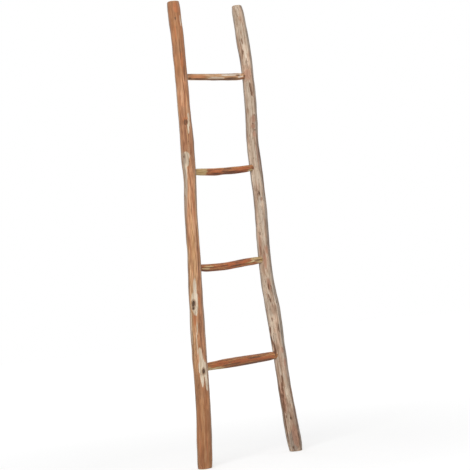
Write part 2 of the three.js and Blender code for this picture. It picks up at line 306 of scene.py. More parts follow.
def radius_at(log, place, turn=None):
    """A log's radius at a place, towards a turn round it, or its mean where no turn is given."""
    radius = np.interp(place, log["places"], log["waves"][:, 0].real)
    if turn is not None:
        for k in range(1, SECTION_WAVES):
            even = np.interp(place, log["places"], log["waves"][:, k].real)
            odd = np.interp(place, log["places"], log["waves"][:, k].imag)
            radius = radius + even * np.cos(k * turn) - odd * np.sin(k * turn)
    return radius


def grow_log(name, log, length, sides, worn):
    """Extrudes a closed tube ring by ring along a measured log, and smooths it. Smoothing draws
    a ring's corners in, so each ring starts that much fuller."""
    fuller = 3 / (2 + math.cos(2 * math.pi / sides))
    foot, top = radius_at(log, 0), radius_at(log, length)
    low, high = 3 * worn, length - 3 * worn
    rings = [
        # place and radius of each ring, from the foot to the top
        (0, foot * INNER_RING),
        (0, foot - worn),
        (worn * WORN_STEP, foot - worn * WORN_STEP),
        (worn, foot),
        (2 * worn, foot),
        *[(place, radius_at(log, place)) for place in log["places"] if low < place < high],
        (length - 2 * worn, top),
        (length - worn, top),
        (length - worn * WORN_STEP, top - worn * WORN_STEP),
        (length, top - worn),
        (length, top * INNER_RING),
    ]
    middles = [Vector((*middle_at(log, place), place)) for place, radius in rings]
    bpy.ops.object.select_all(action="DESELECT")
    bpy.ops.mesh.primitive_circle_add(vertices=sides, radius=rings[0][1] * fuller, fill_type="NGON",
                                      location=middles[0])
    piece = bpy.context.object
    piece.name = name
    bpy.ops.object.transform_apply(location=True)
    bpy.ops.object.mode_set(mode="EDIT")
    for i in range(1, len(rings)):
        bpy.ops.mesh.extrude_region_move(TRANSFORM_OT_translate={"value": middles[i] - middles[i - 1]})
        widening = rings[i][1] / rings[i - 1][1]
        bpy.ops.transform.resize(value=(widening, widening, 1), center_override=middles[i])
    bpy.ops.mesh.select_all(action="SELECT")
    bpy.ops.mesh.normals_make_consistent(inside=False)
    bpy.ops.object.mode_set(mode="OBJECT")
    smooth = piece.modifiers.new("smooth", "SUBSURF")
    smooth.levels = smooth.render_levels = SMOOTHING
    bpy.ops.object.modifier_apply(modifier="smooth")
    return piece


def corners_of(piece):
    return np.array([corner.co for corner in piece.data.vertices])


def place_corners(piece, corners):
    piece.data.vertices.foreach_set("co", corners.ravel())
    piece.data.update()


def from_mark(mark, turn, place, radius):
    """Steps from a mark's middle, in half widths across and half lengths along it."""
    kind, mark_turn, mark_place, width, length = mark
    across = 2 * radius * np.sin((turn - math.radians(mark_turn)) / 2)
    return across / (width / 2), (place - mark_place) / (length / 2)


def uneven(turn, place, around, along, seed):
    """Smooth noise on a log's surface, with so many swells round it and in a metre of it."""
    reach = around / (2 * math.pi)
    spots = zip(reach * np.cos(turn), reach * np.sin(turn), place * along)
    return np.array([noise.noise(Vector((x + seed, y - seed, z))) for x, y, z in spots])


UNEVENNESS = [
    # how high the swells are, how many go round a log and into a metre of it, and their own seed
    (0.0016, 12, 5, 0),
    (0.0009, 34, 14, 5),
    (0.0010, 5, 26, 9),
]
KNOT_WIDTH = 0.010
KNOT_RISE = 0.0012
KNOT_RISE_SPREAD = 3
KNOT_DIP = 0.0022
KNOT_DIP_SHARPNESS = 2
SCRAPED_DIP = 0.0005


def weather(piece, log, marks, seed, depth, plain_ends):
    """Gives a smooth log its measured outline, the flutes and dents of its surface, and its
    marks. Nothing is added within plain_ends of a tip."""
    corners = corners_of(piece)
    place = corners[:, 2].copy()
    middle = middle_at(log, place)
    off = corners[:, :2] - middle
    turn = np.arctan2(off[:, 1], off[:, 0])
    fullness = np.hypot(off[:, 0], off[:, 1]) / radius_at(log, place)
    radius = radius_at(log, place, turn)
    relief = sum(height * uneven(turn, place, around, along, seed + extra)
                 for height, around, along, extra in UNEVENNESS)
    relief *= depth
    for mark in marks:
        across, along = from_mark(mark, turn, place, radius)
        apart = across ** 2 + along ** 2
        if mark[0] == "knot":
            size = mark[3] / KNOT_WIDTH
            rise = KNOT_RISE * np.exp(-apart / KNOT_RISE_SPREAD)
            relief += size * (rise - KNOT_DIP * np.exp(-apart * KNOT_DIP_SHARPNESS))
        elif mark[0] == "bare":
            relief -= SCRAPED_DIP * depth * np.exp(-apart ** 2)
    if plain_ends:
        from_end = np.minimum(place, place.max() - place)
        relief *= np.clip(from_end / plain_ends - 1, 0, 1)
    grown = fullness * radius + np.minimum(fullness, 1) ** 3 * relief
    corners[:, 0] = middle[:, 0] + grown * np.cos(turn)
    corners[:, 1] = middle[:, 1] + grown * np.sin(turn)
    place_corners(piece, corners)


def seat(piece, node_name, pose):
    """Lays a log where it belongs and keeps it within its CAD solid's box."""
    activate(piece)
    piece.matrix_world = pose
    bpy.ops.object.transform_apply(location=True, rotation=True, scale=True)
    low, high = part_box(node_name)
    place_corners(piece, np.clip(corners_of(piece), low, high))


PATCH_KINDS = ("amber", "bare", "stain_and_shadow", "blush", "grey")
NO_PATCH = -2.0
NO_KNOT = 9.0
KNOT_REACH = 40.0


def record_grain(piece, log, marks, pose, drift):
    """Keeps what the wood's colour follows: each corner's place in the log, how far it is from a
    sawn end, and its nearest marks."""
    corners = corners_of(piece)
    inverse = np.array(pose.inverted())
    corners = corners @ inverse[:3, :3].T + inverse[:3, 3]
    place = corners[:, 2]
    from_end = np.minimum(place - place.min(), place.max() - place)
    off = corners[:, :2] - middle_at(log, place)
    turn = np.arctan2(off[:, 1], off[:, 0])
    radius = radius_at(log, place, turn)
    knots = np.full((len(corners), 3), NO_KNOT)
    nearest = np.full(len(corners), KNOT_REACH)
    layers = {kind: np.full(len(corners), NO_PATCH) for kind in PATCH_KINDS}
    for mark in marks:
        across, along = from_mark(mark, turn, place, radius)
        apart = across ** 2 + along ** 2
        if mark[0] == "knot":
            closer = apart < nearest
            nearest = np.where(closer, apart, nearest)
            knots[closer] = np.column_stack([across, along, np.zeros(len(corners))])[closer]
        else:
            layers[mark[0]] = np.maximum(layers[mark[0]], 1 - apart)
    for kind, values in (("grain", np.column_stack([off, place + drift])), ("knots", knots)):
        layer = piece.data.attributes.new(kind, "FLOAT_VECTOR", "POINT")
        layer.data.foreach_set("vector", values.ravel())
    for kind, values in (*layers.items(), ("from_end", from_end)):
        layer = piece.data.attributes.new(kind, "FLOAT", "POINT")
        layer.data.foreach_set("value", values)


def add_drill(start, end, radius, sides):
    """A round drill from one point to another."""
    direction = end - start
    bpy.ops.object.select_all(action="DESELECT")
    bpy.ops.mesh.primitive_cylinder_add(vertices=sides, radius=radius, depth=direction.length,
                                        location=(start + end) / 2)
    drill = bpy.context.object
    drill.rotation_mode = "QUATERNION"
    drill.rotation_quaternion = direction.to_track_quat("Z", "Y")
    return drill


def bore(piece, drills):
    """Takes the holes of several separate drills out of a piece and throws the drills away."""
    activate(drills[0])
    for drill in drills:
        drill.select_set(True)
    bpy.ops.object.join()
    joined = bpy.context.object
    activate(piece)
    cut = piece.modifiers.new("bore", "BOOLEAN")
    cut.operation = "DIFFERENCE"
    cut.solver = "EXACT"
    cut.object = joined
    bpy.ops.object.modifier_apply(modifier="bore")
    bpy.data.objects.remove(joined)


def nail_name(rung, side):
    return "nail_" + rung.replace("_rung", "") + "_" + side


def nail_line(rung, side):
    """The tip of a nail and the middle of its head's top, as its CAD solid has them."""
    low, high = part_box(nail_name(rung, side))
    middle = (low + high) / 2
    return Vector((middle.x, low.y, middle.z)), Vector((middle.x, high.y, middle.z))


def shank_drill(rung, side):
    tip, head = nail_line(rung, side)
    return add_drill(tip - Vector((0, FIT_GAP, 0)), head, NAIL_SHANK / 2 + FIT_GAP, SHANK_SIDES)


def head_drill(rung, side):
    """The recess that a punch leaves over a nail's head."""
    tip, head = nail_line(rung, side)
    under = head - Vector((0, NAIL_HEAD_DEPTH + FIT_GAP, 0))
    return add_drill(under, head + Vector((0, HEAD_ROOM, 0)), NAIL_HEAD / 2 + FIT_GAP, HEAD_SIDES)


def lie_of_rung(name):
    """A rung's own axes, from the middle of its left tip: X to the back, Y up and Z along it. Its
    length over both tips comes with them."""
    low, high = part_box(name)
    solid = merged_copy(name, LYING)
    cuts = (low.x + IN_TENON, high.x - IN_TENON)
    left, right = [Vector((x, *saw_through(solid, x)[0])) for x in cuts]
    bpy.data.objects.remove(solid)
    along = (right - left).normalized()
    back = Vector((0, 0, 1)).cross(along).normalized()
    reach = [(corner.co - left).dot(along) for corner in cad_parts[name].data.vertices]
    tip = left + along * min(reach)
    pose = Matrix.Translation(tip) @ Matrix((back, along.cross(back), along)).transposed().to_4x4()
    return pose, max(reach) - min(reach)


rung_lies = {name: lie_of_rung(name) for name in RUNG_NAMES}


def mortise_drill(rung, side):
    """A blind mortise, a little wider than its tenon and a little deeper."""
    pose, length = rung_lies[rung]
    solid = merged_copy(rung, pose)
    radius = saw_through(solid, TENON_PROBE)[1].max() + FIT_GAP
    bpy.data.objects.remove(solid)
    if side == "left":
        ends = (-FIT_GAP, MORTISE_REACH)
    else:
        ends = (length + FIT_GAP, length - MORTISE_REACH)
    return add_drill(*[pose @ Vector((0, 0, end)) for end in ends], radius, MORTISE_SIDES)


def stem_places(side):
    """Even places up a stem, apart from those where a saw would meet a joint."""
    steps = round(STEM_LENGTH / STEM_STEP)
    places = [STEM_LENGTH * i / steps for i in range(steps + 1)]
    places[0], places[-1] = NEAR_END, STEM_LENGTH - NEAR_END
    joints = [nail_line(rung, side)[0].z for rung in RUNG_NAMES]
    return [place for place in places if all(abs(place - joint) > JOINT_CLEARANCE for joint in joints)]


def build_stem(name, side, marks, seed):
    log = measure(name, UPRIGHT, stem_places(side))
    stem = grow_log(name + "_wood", log, STEM_LENGTH, STEM_SIDES, WORN_EDGE)
    weather(stem, log, marks, seed, depth=STEM_RELIEF, plain_ends=0)
    seat(stem, name, UPRIGHT)
    bore(stem, [mortise_drill(rung, side) for rung in RUNG_NAMES])
    bore(stem, [shank_drill(rung, side) for rung in RUNG_NAMES])
    bore(stem, [head_drill(rung, side) for rung in RUNG_NAMES])
    bpy.ops.object.shade_smooth_by_angle(angle=SHARP_ANGLE)
    record_grain(stem, log, marks, UPRIGHT, drift=0)
    return stem


def paint(red, green, blue):
    """A colour as a screen shows it, each part from 0 to 255, made fit for a shader."""
    return tuple(((part / 255 + 0.055) / 1.055) ** 2.4 for part in (red, green, blue)) + (1,)


def noise_node(tree, grain, across, along, shift, detail=3.0):
    """Noise drawn out along the grain: how wide and how long its streaks are, in metres."""
    spot = add_node(tree, "ShaderNodeMapping", {"Vector": grain, "Location": (shift, shift, shift),
                                                "Scale": (1 / across, 1 / across, 1 / along)})
    return add_node(tree, "ShaderNodeTexNoise", {"Vector": spot.outputs[0], "Scale": 1.0,
                                                 "Detail": detail}).outputs[0]


def ramp_node(tree, value, *stops):
    """Colours along a value: each stop is a place from 0 to 1 and a colour."""
    ramp = add_node(tree, "ShaderNodeValToRGB", {0: value})
    for i, (place, colour) in enumerate(stops):
        stop = ramp.color_ramp.elements[i] if i < 2 else ramp.color_ramp.elements.new(place)
        stop.position = place
        stop.color = colour
    return ramp.outputs[0]


def fade_node(tree, value, low, high, least=0.0, most=1.0):
    """Runs smoothly from least to most while a value goes from low to high."""
    return add_node(tree, "ShaderNodeMapRange", {0: value, 1: low, 2: high, 3: least, 4: most},
                    interpolation_type="SMOOTHSTEP").outputs[0]


def mix_node(tree, share, under, over, blend="MIX"):
    return add_node(tree, "ShaderNodeMix", {0: share, 6: under, 7: over}, data_type="RGBA",
                    blend_type=blend).outputs[2]


def add_up(tree, value, share, other, other_share=1.0):
    """Two values added up, each times its share."""
    if other_share != 1.0:
        other = math_node(tree, "MULTIPLY", other, other_share)
    return math_node(tree, "MULTIPLY_ADD", value, share, other)


def flat_length(tree, x, y):
    """The length of two parts of a vector."""
    return math_node(tree, "SQRT", add_up(tree, x, x, y, y))


def thin_line(tree, value, half_width):
    """One where a value passes a half, and none a little way off."""
    off = math_node(tree, "ABSOLUTE", math_node(tree, "SUBTRACT", value, 0.5))
    return fade_node(tree, off, half_width * 0.25, half_width, 1.0, 0.0)


AMBER = paint(166, 106, 64)
STAIN_AND_SHADOW_DARK = paint(88, 58, 40)
STAIN_AND_SHADOW_LIGHT = paint(136, 92, 62)
CRACK = paint(72, 48, 34)
KNOT_CORE = paint(58, 44, 34)
KNOT_RING = paint(112, 84, 60)
KNOT_RIM = paint(140, 96, 62)
END_EARLY = paint(205, 172, 132)
END_LATE = paint(172, 132, 94)
SHADES = (0.38, 0.47, 0.53, 0.62)
STAIN_AND_SHADOW_STOPS = (0.4, 0.6)
SHINE = 0.35
DUST = 0.12
BUMP_STRENGTH = 0.55
BUMP_DEPTH = 0.0012

GRAIN_NOISES = {
    # how wide and how long the streaks of each noise are, its shift and its detail
    "fibre": (0.0024, 0.036, 0, 4),
    "streak": (0.005, 0.16, 3, 4),
    "ragged": (0.006, 0.03, 11, 4),
    "cloud": (0.03, 0.07, 17, 3),
    "seam": (0.0045, 0.11, 23, 2),
    "dryness": (0.02, 0.09, 29, 3),
    "wobble": (0.012, 0.5, 31, 3),
    "freckle": (0.0035, 0.011, 37, 2),
}
LANE_WIDTH = 0.016
LANE_SHIFT = 7

PATCHES = {
    # the noise that frays a patch's edge and its share, where the patch begins and is full, and
    # how strong it is there
    "amber": ("streak", 1.2, 0.4, 1.4, 0.6),
    "bare": ("ragged", 2.4, 1.05, 1.45, 1.0),
    "grey": ("streak", 1.4, 0.5, 1.2, 0.75),
    "blush": ("ragged", 1.4, 0.7, 1.3, 0.7),
    "stain_and_shadow": ("torn", 1.0, 2.9, 3.4, 0.9),
}

# How much of each of two noises goes into these.
MOTTLE_SHARES = (0.5, 0.5)
WORN_SHARES = (0.6, 0.4)
TORN_SHARES = (2.8, 3.0)

# Where each of these begins and is full, and what it fades from and to where that isn't 0 and 1.
WARM_LANES = (0.44, 0.58)
CLOUDS = (0.4, 0.62, 0.86, 1.07)
RUBBED_EDGE = (-0.02, 0.06)
DRY_PLACES = (0.5, 0.6)
KNOT_EDGE = (0.75, 1.05, 1.0, 0.0)
KNOT_HALO = (1.05, 1.9, 0.75, 0.0)
KNOT_SHADES = (-0.6, 0.8)
SAWN_EDGE = (0.0032, 0.0048, 1.0, 0.0)
YEAR_SHADES = (-0.8, 0.8)
GLOSS = (0.3, 0.9, 0.56, 0.74)

FRECKLE_EDGE = 0.06
FRECKLE_SHARE = 0.6
CRACK_WIDTH = 0.016
CRACK_SHARE = 0.6
CRACK_DEPTH = -0.5
KNOT_FRAY = 1.6
KNOT_TRIM = 0.8
KNOT_TURNS = 16
KNOT_RELIEF = 0.15
SAWN_FRAY = 0.004
YEAR_WOBBLE = 9.0
YEAR_TURNS = 3400
SPLIT_RUN = 25
SPLIT_NUMBER = 5.0
SPLIT_SHARE = 0.7
BARE_DULLNESS = 0.25


def sawn_end(tree, off_x, off_y, wobble):
    """Growth rings round the pith and splits that run out from it, where a log is sawn across."""
    from_pith = flat_length(tree, off_x, off_y)
    years = math_node(tree, "SINE", add_up(tree, wobble, YEAR_WOBBLE, from_pith, YEAR_TURNS))
    colour = mix_node(tree, fade_node(tree, years, *YEAR_SHADES), END_LATE, END_EARLY)
    spoke = math_node(tree, "ARCTAN2", off_y, off_x)
    run = math_node(tree, "MULTIPLY", from_pith, SPLIT_RUN)
    spoke = add_node(tree, "ShaderNodeCombineXYZ", {0: spoke, 1: run}).outputs[0]
    split = add_node(tree, "ShaderNodeTexNoise", {"Vector": spoke, "Scale": SPLIT_NUMBER, "Detail": 1.0})
    split = thin_line(tree, split.outputs[0], CRACK_WIDTH)
    return mix_node(tree, math_node(tree, "MULTIPLY", split, SPLIT_SHARE), colour, CRACK)


def peeled_wood(name, skin, warm_skin, bare, grey, blush, rubbed, lanes, freckled, shift):
    """Peeled wood: a brown skin that is deeper where it holds resin, pale wood where a knife or
    a hand took it off, knots, stains, weathered lanes and drying cracks. Its grey patches are
    weathered wood in places and painted shade and sheen in others, and its stains take in
    painted shadow where a rung meets a stem. The higher rubbed is, the more of the skin is
    left, lanes is how long the rubbed lanes are, and the lower freckled is, the more dark
    specks it has."""
    material = bpy.data.materials.new(name)
    material.use_nodes = True
    tree = material.node_tree
    shader = tree.nodes["Principled BSDF"]
    grain = add_node(tree, "ShaderNodeAttribute", attribute_name="grain").outputs["Vector"]
    knots = add_node(tree, "ShaderNodeAttribute", attribute_name="knots").outputs["Vector"]
    from_end = add_node(tree, "ShaderNodeAttribute", attribute_name="from_end").outputs["Fac"]
    off_x, off_y = add_node(tree, "ShaderNodeSeparateXYZ", {0: grain}).outputs[:2]
    knot_x, knot_y = add_node(tree, "ShaderNodeSeparateXYZ", {0: knots}).outputs[:2]

    noises = {kind: noise_node(tree, grain, across, along, shift + extra, detail)
              for kind, (across, along, extra, detail) in GRAIN_NOISES.items()}
    fibre, streak, ragged = [noises[kind] for kind in ("fibre", "streak", "ragged")]
    noises["torn"] = add_up(tree, ragged, TORN_SHARES[0], fibre, TORN_SHARES[1])
    lane = noise_node(tree, grain, LANE_WIDTH, lanes, shift + LANE_SHIFT)
    mottle = add_up(tree, fibre, MOTTLE_SHARES[0], streak, MOTTLE_SHARES[1])

    def shaded(colours):
        return ramp_node(tree, mottle, *zip(SHADES, colours))

    def patch(kind):
        """How strongly the marks of a kind show, with frayed edges."""
        fray, share, begins, full, strength = PATCHES[kind]
        mark = add_node(tree, "ShaderNodeAttribute", attribute_name=kind).outputs["Fac"]
        return fade_node(tree, add_up(tree, noises[fray], share, mark), begins, full, 0.0, strength)

    # The skin, and the pale wood that shows where it was scraped or rubbed off.
    colour = mix_node(tree, fade_node(tree, lane, *WARM_LANES), shaded(skin), shaded(warm_skin))
    colour = mix_node(tree, patch("amber"), colour, AMBER)
    worn = add_up(tree, lane, WORN_SHARES[0], ragged, WORN_SHARES[1])
    worn = fade_node(tree, worn, *[rubbed + step for step in RUBBED_EDGE])
    showing = math_node(tree, "MAXIMUM", patch("bare"), worn)
    colour = mix_node(tree, showing, colour, shaded(bare))

    # What weather and hands did to both, with painted light among it: some grey patches are
    # painted shade and sheen down the stems' sides, and some stains are painted shadow where a
    # rung meets a stem.
    colour = mix_node(tree, patch("grey"), colour, shaded(grey))
    colour = mix_node(tree, patch("blush"), colour, blush)
    cloud = fade_node(tree, noises["cloud"], *CLOUDS)
    cloud = add_node(tree, "ShaderNodeCombineXYZ", {0: cloud, 1: cloud, 2: cloud}).outputs[0]
    colour = mix_node(tree, 1.0, colour, cloud, "MULTIPLY")
    freckle = fade_node(tree, noises["freckle"], freckled, freckled + FRECKLE_EDGE, 0.0, FRECKLE_SHARE)
    # The stains here take in painted shadow where a rung meets a stem.
    stained_and_shadowed = math_node(tree, "MAXIMUM", patch("stain_and_shadow"), freckle)
    stain_and_shadow = ramp_node(tree, mottle, *zip(STAIN_AND_SHADOW_STOPS, (STAIN_AND_SHADOW_DARK, STAIN_AND_SHADOW_LIGHT)))
    colour = mix_node(tree, stained_and_shadowed, colour, stain_and_shadow)

    # Drying cracks along the grain, and knots with rings of their own.
    dry = fade_node(tree, noises["dryness"], *DRY_PLACES)
    crack = math_node(tree, "MULTIPLY", thin_line(tree, noises["seam"], CRACK_WIDTH), dry)
    colour = mix_node(tree, math_node(tree, "MULTIPLY", crack, CRACK_SHARE), colour, CRACK)
    heart = add_up(tree, ragged, KNOT_FRAY, flat_length(tree, knot_x, knot_y))
    heart = math_node(tree, "SUBTRACT", heart, KNOT_TRIM)
    rings = math_node(tree, "SINE", math_node(tree, "MULTIPLY", heart, KNOT_TURNS))
    colour = mix_node(tree, fade_node(tree, heart, *KNOT_HALO), colour, KNOT_RIM)
    inside = fade_node(tree, heart, *KNOT_EDGE)
    knot = mix_node(tree, fade_node(tree, rings, *KNOT_SHADES), KNOT_CORE, KNOT_RING)
    colour = mix_node(tree, inside, colour, knot)

    # The sawn ends.
    sawn = fade_node(tree, add_up(tree, ragged, SAWN_FRAY, from_end), *SAWN_EDGE)
    colour = mix_node(tree, sawn, colour, sawn_end(tree, off_x, off_y, noises["wobble"]))

    # What a finger feels, and a gloss that is duller on bare wood.
    relief = add_up(tree, crack, CRACK_DEPTH, mottle)
    ridges = math_node(tree, "MULTIPLY", rings, KNOT_RELIEF)
    relief = math_node(tree, "MULTIPLY_ADD", inside, ridges, relief)
    bump = add_node(tree, "ShaderNodeBump",
                    {"Height": relief, "Strength": BUMP_STRENGTH, "Distance": BUMP_DEPTH})
    gloss = fade_node(tree, add_up(tree, showing, BARE_DULLNESS, fibre), *GLOSS)
    tree.links.new(bump.outputs[0], shader.inputs["Normal"])
    tree.links.new(colour, shader.inputs["Base Color"])
    tree.links.new(gloss, shader.inputs["Roughness"])
    shader.inputs["Specular IOR Level"].default_value = SHINE
    shader.inputs["Sheen Weight"].default_value = DUST
    return material


left_stem = build_stem("left_rail", "left", LEFT_MARKS, seed=3.1)
left_stem.data.materials.append(peeled_wood(
    "left_stem_wood",
    skin=[paint(136, 88, 60), paint(174, 118, 80), paint(206, 148, 108), paint(222, 174, 136)],
    warm_skin=[paint(140, 96, 60), paint(180, 130, 86), paint(210, 160, 114), paint(224, 184, 142)],
    bare=[paint(192, 166, 136), paint(216, 194, 164), paint(230, 210, 184), paint(238, 222, 200)],
    grey=[paint(132, 108, 88), paint(154, 132, 112), paint(168, 148, 128), paint(182, 162, 142)],
    blush=paint(194, 118, 72),
    rubbed=0.68,
    lanes=0.42,
    freckled=0.70,
    shift=2.0,
))
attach(left_stem, "root")
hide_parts("left_rail")

# The right stem is a younger trunk whose brown skin was rubbed off nearly everywhere, down to
# grey-beige sapwood. It is more crooked, and its inner side holds the rungs' right ends.

RIGHT_MARKS = [
    # what it is, its turn round the stem from the right over the back, height, width and length
    ("bare", 212, 1.430, 0.009, 0.090),
    ("bare", 208, 1.395, 0.012, 0.060),
    ("bare", 232, 1.340, 0.012, 0.110),
    ("bare", 222, 1.180, 0.018, 0.130),
    ("bare", 222, 0.985, 0.026, 0.160),
    ("bare", 230, 0.790, 0.022, 0.150),
    ("stain_and_shadow", 226, 1.376, 0.005, 0.022),
    ("stain_and_shadow", 215, 1.340, 0.006, 0.022),
    ("stain_and_shadow", 238, 1.300, 0.003, 0.040),
    ("stain_and_shadow", 243, 1.228, 0.006, 0.020),
    ("stain_and_shadow", 248, 1.214, 0.007, 0.022),
    ("stain_and_shadow", 251, 1.199, 0.008, 0.016),
    ("blush", 236, 1.265, 0.030, 0.044),
    ("blush", 253, 1.115, 0.018, 0.030),
    ("blush", 246, 1.090, 0.020, 0.018),
    ("blush", 257, 1.064, 0.016, 0.024),
    ("stain_and_shadow", 262, 1.128, 0.006, 0.007),
    ("stain_and_shadow", 240, 1.098, 0.007, 0.006),
    ("stain_and_shadow", 262, 1.078, 0.006, 0.006),
    # Dark strips down the stem's right side as the camera sees it, from about 0.86 to 1.17 m high.
    ("stain_and_shadow", 302, 1.130, 0.009, 0.080),
    ("blush", 266, 1.000, 0.006, 0.110),
    ("stain_and_shadow", 284, 1.040, 0.005, 0.060),
    ("stain_and_shadow", 298, 0.990, 0.011, 0.080),
    ("stain_and_shadow", 304, 0.915, 0.012, 0.110),
    ("knot", 234, 0.866, 0.004, 0.011),
    ("blush", 250, 0.846, 0.008, 0.016),
    ("stain_and_shadow", 158, 0.792, 0.004, 0.040),
    ("stain_and_shadow", 211, 0.732, 0.004, 0.014),
    ("blush", 200, 0.690, 0.010, 0.090),
    ("stain_and_shadow", 204, 0.672, 0.004, 0.040),
    ("blush", 258, 0.676, 0.014, 0.034),
    ("blush", 232, 0.640, 0.014, 0.060),
    ("stain_and_shadow", 232, 0.553, 0.006, 0.028),
    ("blush", 240, 0.560, 0.016, 0.050),
    ("stain_and_shadow", 220, 0.520, 0.005, 0.016),
    ("stain_and_shadow", 226, 0.508, 0.006, 0.018),
    ("stain_and_shadow", 213, 0.444, 0.005, 0.012),
    ("stain_and_shadow", 256, 0.415, 0.005, 0.030),
    ("stain_and_shadow", 180, 0.408, 0.010, 0.026),
    ("knot", 176, 0.380, 0.008, 0.016),
    ("stain_and_shadow", 186, 0.364, 0.010, 0.026),
    ("stain_and_shadow", 200, 0.345, 0.012, 0.040),
    ("blush", 262, 0.340, 0.012, 0.026),
    ("blush", 272, 0.296, 0.012, 0.034),
    ("stain_and_shadow", 222, 0.244, 0.009, 0.030),
    ("stain_and_shadow", 214, 0.226, 0.008, 0.022),
    ("stain_and_shadow", 209, 0.208, 0.010, 0.030),
    ("stain_and_shadow", 203, 0.188, 0.009, 0.028),
    ("stain_and_shadow", 199, 0.162, 0.010, 0.036),
    ("stain_and_shadow", 196, 0.140, 0.007, 0.022),
    ("blush", 205, 0.180, 0.018, 0.120),
    ("stain_and_shadow", 200, 0.118, 0.005, 0.012),
    ("stain_and_shadow", 180, 0.140, 0.008, 0.260),
    ("stain_and_shadow", 290, 0.150, 0.007, 0.260),
    ("knot", 235, 0.112, 0.005, 0.009),
    ("stain_and_shadow", 280, 0.052, 0.007, 0.040),
    ("stain_and_shadow", 213, 0.014, 0.006, 0.009),
    ("blush", 246, 0.052, 0.026, 0.090),
    ("grey", 222, 0.034, 0.030, 0.080),
    # Painted shade and sheen: these two grey strips run down the stem's whole length, just inside its
    # outline as the camera sees it.
    ("grey", 154, 0.750, 0.016, 4.000),
    ("grey", 304, 0.700, 0.026, 4.000),
    ("knot", 60, 1.020, 0.010, 0.014),
    ("stain_and_shadow", 52, 0.600, 0.010, 0.060),
    ("knot", 95, 0.350, 0.008, 0.012),
    ("stain_and_shadow", 110, 1.250, 0.008, 0.120),
]

right_stem = build_stem("right_rail", "right", RIGHT_MARKS, seed=17.7)
right_stem.data.materials.append(peeled_wood(
    "right_stem_wood",
    skin=[paint(146, 112, 88), paint(182, 148, 122), paint(210, 178, 152), paint(226, 198, 172)],
    warm_skin=[paint(150, 110, 84), paint(188, 148, 120), paint(214, 178, 150), paint(230, 198, 170)],
    bare=[paint(180, 154, 130), paint(204, 180, 156), paint(220, 198, 174), paint(232, 214, 194)],
    grey=[paint(112, 96, 84), paint(136, 120, 108), paint(156, 142, 128), paint(174, 160, 146)],
    blush=paint(188, 136, 110),
    rubbed=0.48,
    lanes=0.10,
    freckled=0.62,
    shift=41.0,
))
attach(right_stem, "root")
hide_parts("right_rail")

# The four rungs are thinner branches, the top one of tan wood and the others of red-brown wood,
# each bent in its own way. Their ends are whittled down to round tenons with a knife and driven
# into the stems' mortises.

RUNG_SIDES = 12
RUNG_STEP = 0.011
WORN_TIP = 0.0012
PLAIN_TENON = 0.026
WHITTLED = 0.046
KNIFE_CUTS = 9
KNIFE_BITE = 0.55
KNIFE_SLOPE = 0.3
KNIFE_TWIST = 5
RUNG_RELIEF = 0.45
FIRST_SEED = 29.3
NEXT_SEED = 7
NEXT_GRAIN = 1.3

RUNG_MARKS = {
    # what it is, its turn round the rung from the back over the top, place, width and length
    "bottom_rung": [
        ("bare", 238, 0.050, 0.022, 0.080),
        ("bare", 260, 0.066, 0.014, 0.090),
        ("blush", 190, 0.052, 0.010, 0.030),
        ("blush", 165, 0.085, 0.020, 0.080),
        ("stain_and_shadow", 205, 0.104, 0.004, 0.040),
        ("knot", 105, 0.190, 0.006, 0.007),
        ("blush", 180, 0.200, 0.010, 0.120),
        ("stain_and_shadow", 232, 0.230, 0.008, 0.180),
        ("stain_and_shadow", 196, 0.128, 0.006, 0.070),
        ("stain_and_shadow", 158, 0.226, 0.005, 0.070),
        ("blush", 176, 0.160, 0.020, 0.110),
        ("blush", 196, 0.268, 0.020, 0.100),
        ("stain_and_shadow", 214, 0.276, 0.006, 0.060),
        ("stain_and_shadow", 160, 0.316, 0.020, 0.010),
    ],
    "lower_rung": [
        ("bare", 196, 0.046, 0.006, 0.030),
        ("bare", 160, 0.058, 0.005, 0.040),
        ("stain_and_shadow", 228, 0.040, 0.005, 0.060),
        ("blush", 180, 0.150, 0.030, 0.050),
        ("stain_and_shadow", 195, 0.170, 0.004, 0.060),
        ("blush", 170, 0.205, 0.012, 0.060),
        ("bare", 190, 0.232, 0.004, 0.050),
        ("bare", 146, 0.274, 0.026, 0.070),
        ("stain_and_shadow", 176, 0.276, 0.005, 0.034),
        ("bare", 205, 0.284, 0.012, 0.030),
    ],
    "upper_rung": [
        ("bare", 170, 0.034, 0.200, 0.082),
        ("blush", 180, 0.120, 0.012, 0.070),
        ("stain_and_shadow", 222, 0.112, 0.007, 0.050),
        ("stain_and_shadow", 185, 0.150, 0.004, 0.050),
        ("stain_and_shadow", 226, 0.168, 0.007, 0.050),
        ("blush", 170, 0.220, 0.014, 0.090),
        ("stain_and_shadow", 150, 0.166, 0.006, 0.040),
        ("bare", 236, 0.262, 0.018, 0.024),
    ],
    "top_rung": [
        # Painted shadow where the rung's left end meets the stem: a small dark patch low on its front.
        ("stain_and_shadow", 222, 0.037, 0.010, 0.016),
        ("stain_and_shadow", 236, 0.070, 0.006, 0.080),
        ("blush", 185, 0.066, 0.012, 0.090),
        ("stain_and_shadow", 118, 0.150, 0.006, 0.240),
        ("bare", 212, 0.143, 0.010, 0.066),
        ("stain_and_shadow", 240, 0.146, 0.006, 0.090),
        ("bare", 150, 0.200, 0.010, 0.064),
        ("stain_and_shadow", 206, 0.204, 0.005, 0.050),
        ("stain_and_shadow", 236, 0.210, 0.007, 0.130),
        ("bare", 142, 0.242, 0.009, 0.030),
        ("stain_and_shadow", 166, 0.238, 0.005, 0.022),
        ("bare", 194, 0.247, 0.009, 0.022),
        ("blush", 210, 0.255, 0.006, 0.026),
        # Painted shadow in the gap where the rung enters the right stem: a dark band round its front.
        ("stain_and_shadow", 176, 0.266, 0.012, 0.009),
    ],
}


